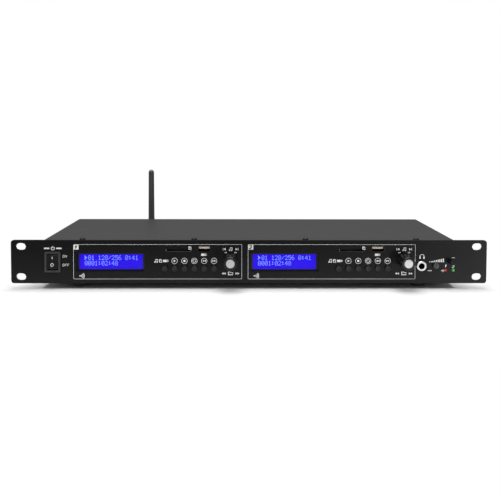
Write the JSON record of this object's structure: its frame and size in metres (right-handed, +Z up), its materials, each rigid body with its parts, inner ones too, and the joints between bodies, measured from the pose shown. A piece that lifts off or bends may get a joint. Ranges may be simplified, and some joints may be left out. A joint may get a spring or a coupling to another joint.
{
  "type": "dual usb media player",
  "caption": "Rack media player one unit high: two decks with display, card slot, USB port, push buttons and a push knob, headphone output, power rocker and folding antenna",
  "frame": {"origin": "on the floor under the middle of the bounding box", "axes": "+X to the right as seen from the front, +Y towards the rear, +Z up; the front panel faces -Y"},
  "size_m": [0.4826, 0.2064, 0.1095],
  "materials": {
    "black_paint": "fine black powder coat",
    "grey_paint": "dark grey powder coat",
    "zinc_steel": "zinc plated sheet",
    "dark_steel": "blackened steel",
    "rubber": "matte black rubber",
    "black_plastic": "satin black",
    "grey_plastic": "satin dark grey",
    "knob_plastic": "satin black with a silver face",
    "circuit_board": "green solder mask",
    "blue_glass": "lit blue display",
    "chrome": "bright plated",
    "ferrite": "dark ferrite with yellow tape",
    "cord": "black insulation",
    "grey_ribbon": "grey flat cable",
    "gold": "gold plated",
    "red_lens": "lit red",
    "green_lens": "lit green"
  },
  "bodies": {
    "chassis": {"front_panel": "black_paint", "chassis_base": "grey_paint", "top_cover": "grey_paint", "cover_screw_1": "dark_steel", "cover_screw_2": "dark_steel", "cover_screw_3": "dark_steel", "cover_screw_4": "dark_steel", "foot_front_left": "rubber", "foot_front_right": "rubber", "foot_rear_left": "rubber", "foot_rear_right": "rubber", "power_switch_housing": "black_plastic", "deck1_player_board": "circuit_board", "deck1_lcd_frame": "dark_steel", "deck1_lcd_module": "blue_glass", "deck1_sd_socket": "zinc_steel", "deck1_usb_socket": "chrome", "deck1_ribbon_cable": "grey_ribbon", "deck2_player_board": "circuit_board", "deck2_lcd_frame": "dark_steel", "deck2_lcd_module": "blue_glass", "deck2_sd_socket": "zinc_steel", "deck2_usb_socket": "chrome", "deck2_ribbon_cable": "grey_ribbon", "headphone_board": "circuit_board", "headphone_jack": "chrome", "lamp_1": "red_lens", "lamp_2": "green_lens", "mains_inlet": "black_plastic", "rca_block": "gold", "antenna_socket": "gold", "power_supply_board": "circuit_board", "power_transformer": "ferrite", "output_board": "circuit_board", "mains_cable": "cord", "switch_cable": "cord", "antenna_coax": "cord"},
    "rocker_body": {"power_rocker": "black_plastic"},
    "volume_body": {"volume_knob": "grey_plastic"},
    "source_body": {"source_button": "grey_plastic"},
    "fuse_body": {"fuse_drawer": "black_plastic"},
    "knuckle_body": {"antenna_knuckle": "rubber"},
    "rod_body": {"antenna_rod": "rubber"},
    "deck1_button_1_body": {"deck1_button_1": "grey_plastic"},
    "deck1_button_2_body": {"deck1_button_2": "grey_plastic"},
    "deck1_button_3_body": {"deck1_button_3": "grey_plastic"},
    "deck1_button_4_body": {"deck1_button_4": "grey_plastic"},
    "deck1_button_5_body": {"deck1_button_5": "grey_plastic"},
    "deck1_button_6_body": {"deck1_button_6": "grey_plastic"},
    "deck1_rotor_body": {"deck1_encoder_rotor": "grey_plastic"},
    "deck1_knob_body": {"deck1_knob": "knob_plastic"},
    "deck2_button_1_body": {"deck2_button_1": "grey_plastic"},
    "deck2_button_2_body": {"deck2_button_2": "grey_plastic"},
    "deck2_button_3_body": {"deck2_button_3": "grey_plastic"},
    "deck2_button_4_body": {"deck2_button_4": "grey_plastic"},
    "deck2_button_5_body": {"deck2_button_5": "grey_plastic"},
    "deck2_button_6_body": {"deck2_button_6": "grey_plastic"},
    "deck2_rotor_body": {"deck2_encoder_rotor": "grey_plastic"},
    "deck2_knob_body": {"deck2_knob": "knob_plastic"}
  },
  "joints": [
    {"name": "power_rocker_tip", "type": "hinge", "parent": "chassis", "child": "rocker_body", "pos_m": [-0.1991, -0.08115, 0.0277], "axis": [1, 0, 0], "range_deg": [0, 16]},
    {"name": "deck1_button_1_press", "type": "slide", "parent": "chassis", "child": "deck1_button_1_body", "axis": [0, 1, 0], "range_m": [0, 0.0005], "stiffness_N_per_m": 400, "springref_m": -0.0005},
    {"name": "deck1_button_2_press", "type": "slide", "parent": "chassis", "child": "deck1_button_2_body", "axis": [0, 1, 0], "range_m": [0, 0.0005], "stiffness_N_per_m": 400, "springref_m": -0.0005},
    {"name": "deck1_button_3_press", "type": "slide", "parent": "chassis", "child": "deck1_button_3_body", "axis": [0, 1, 0], "range_m": [0, 0.0005], "stiffness_N_per_m": 400, "springref_m": -0.0005},
    {"name": "deck1_button_4_press", "type": "slide", "parent": "chassis", "child": "deck1_button_4_body", "axis": [0, 1, 0], "range_m": [0, 0.0005], "stiffness_N_per_m": 400, "springref_m": -0.0005},
    {"name": "deck1_button_5_press", "type": "slide", "parent": "chassis", "child": "deck1_button_5_body", "axis": [0, 1, 0], "range_m": [0, 0.0005], "stiffness_N_per_m": 400, "springref_m": -0.0005},
    {"name": "deck1_button_6_press", "type": "slide", "parent": "chassis", "child": "deck1_button_6_body", "axis": [0, 1, 0], "range_m": [0, 0.0005], "stiffness_N_per_m": 400, "springref_m": -0.0005},
    {"name": "deck1_knob_turn", "type": "hinge", "parent": "chassis", "child": "deck1_rotor_body", "pos_m": [-0.0196, -0.07345, 0.0295], "axis": [0, 1, 0], "continuous": true},
    {"name": "deck1_knob_push", "type": "slide", "parent": "deck1_rotor_body", "child": "deck1_knob_body", "axis": [0, 1, 0], "range_m": [0, 0.0005], "stiffness_N_per_m": 600, "springref_m": -0.0005},
    {"name": "deck2_button_1_press", "type": "slide", "parent": "chassis", "child": "deck2_button_1_body", "axis": [0, 1, 0], "range_m": [0, 0.0005], "stiffness_N_per_m": 400, "springref_m": -0.0005},
    {"name": "deck2_button_2_press", "type": "slide", "parent": "chassis", "child": "deck2_button_2_body", "axis": [0, 1, 0], "range_m": [0, 0.0005], "stiffness_N_per_m": 400, "springref_m": -0.0005},
    {"name": "deck2_button_3_press", "type": "slide", "parent": "chassis", "child": "deck2_button_3_body", "axis": [0, 1, 0], "range_m": [0, 0.0005], "stiffness_N_per_m": 400, "springref_m": -0.0005},
    {"name": "deck2_button_4_press", "type": "slide", "parent": "chassis", "child": "deck2_button_4_body", "axis": [0, 1, 0], "range_m": [0, 0.0005], "stiffness_N_per_m": 400, "springref_m": -0.0005},
    {"name": "deck2_button_5_press", "type": "slide", "parent": "chassis", "child": "deck2_button_5_body", "axis": [0, 1, 0], "range_m": [0, 0.0005], "stiffness_N_per_m": 400, "springref_m": -0.0005},
    {"name": "deck2_button_6_press", "type": "slide", "parent": "chassis", "child": "deck2_button_6_body", "axis": [0, 1, 0], "range_m": [0, 0.0005], "stiffness_N_per_m": 400, "springref_m": -0.0005},
    {"name": "deck2_knob_turn", "type": "hinge", "parent": "chassis", "child": "deck2_rotor_body", "pos_m": [0.1569, -0.07345, 0.0295], "axis": [0, 1, 0], "continuous": true},
    {"name": "deck2_knob_push", "type": "slide", "parent": "deck2_rotor_body", "child": "deck2_knob_body", "axis": [0, 1, 0], "range_m": [0, 0.0005], "stiffness_N_per_m": 600, "springref_m": -0.0005},
    {"name": "volume_turn", "type": "hinge", "parent": "chassis", "child": "volume_body", "pos_m": [0.1893, -0.08235, 0.024], "axis": [0, 1, 0], "range_deg": [-150, 150]},
    {"name": "source_button_press", "type": "slide", "parent": "chassis", "child": "source_body", "axis": [0, 1, 0], "range_m": [0, 0.0015], "stiffness_N_per_m": 300, "springref_m": -0.0005},
    {"name": "fuse_drawer_pull", "type": "slide", "parent": "chassis", "child": "fuse_body", "axis": [0, 1, 0], "range_m": [0, 0.02]},
    {"name": "antenna_swivel", "type": "hinge", "parent": "chassis", "child": "knuckle_body", "pos_m": [-0.122, 0.09, 0.0277], "axis": [0, 1, 0], "range_deg": [-90, 90]},
    {"name": "antenna_fold", "type": "hinge", "parent": "knuckle_body", "child": "rod_body", "pos_m": [-0.122, 0.09885, 0.0277], "axis": [-1, 0, 0], "range_deg": [0, 90]}
  ]
}
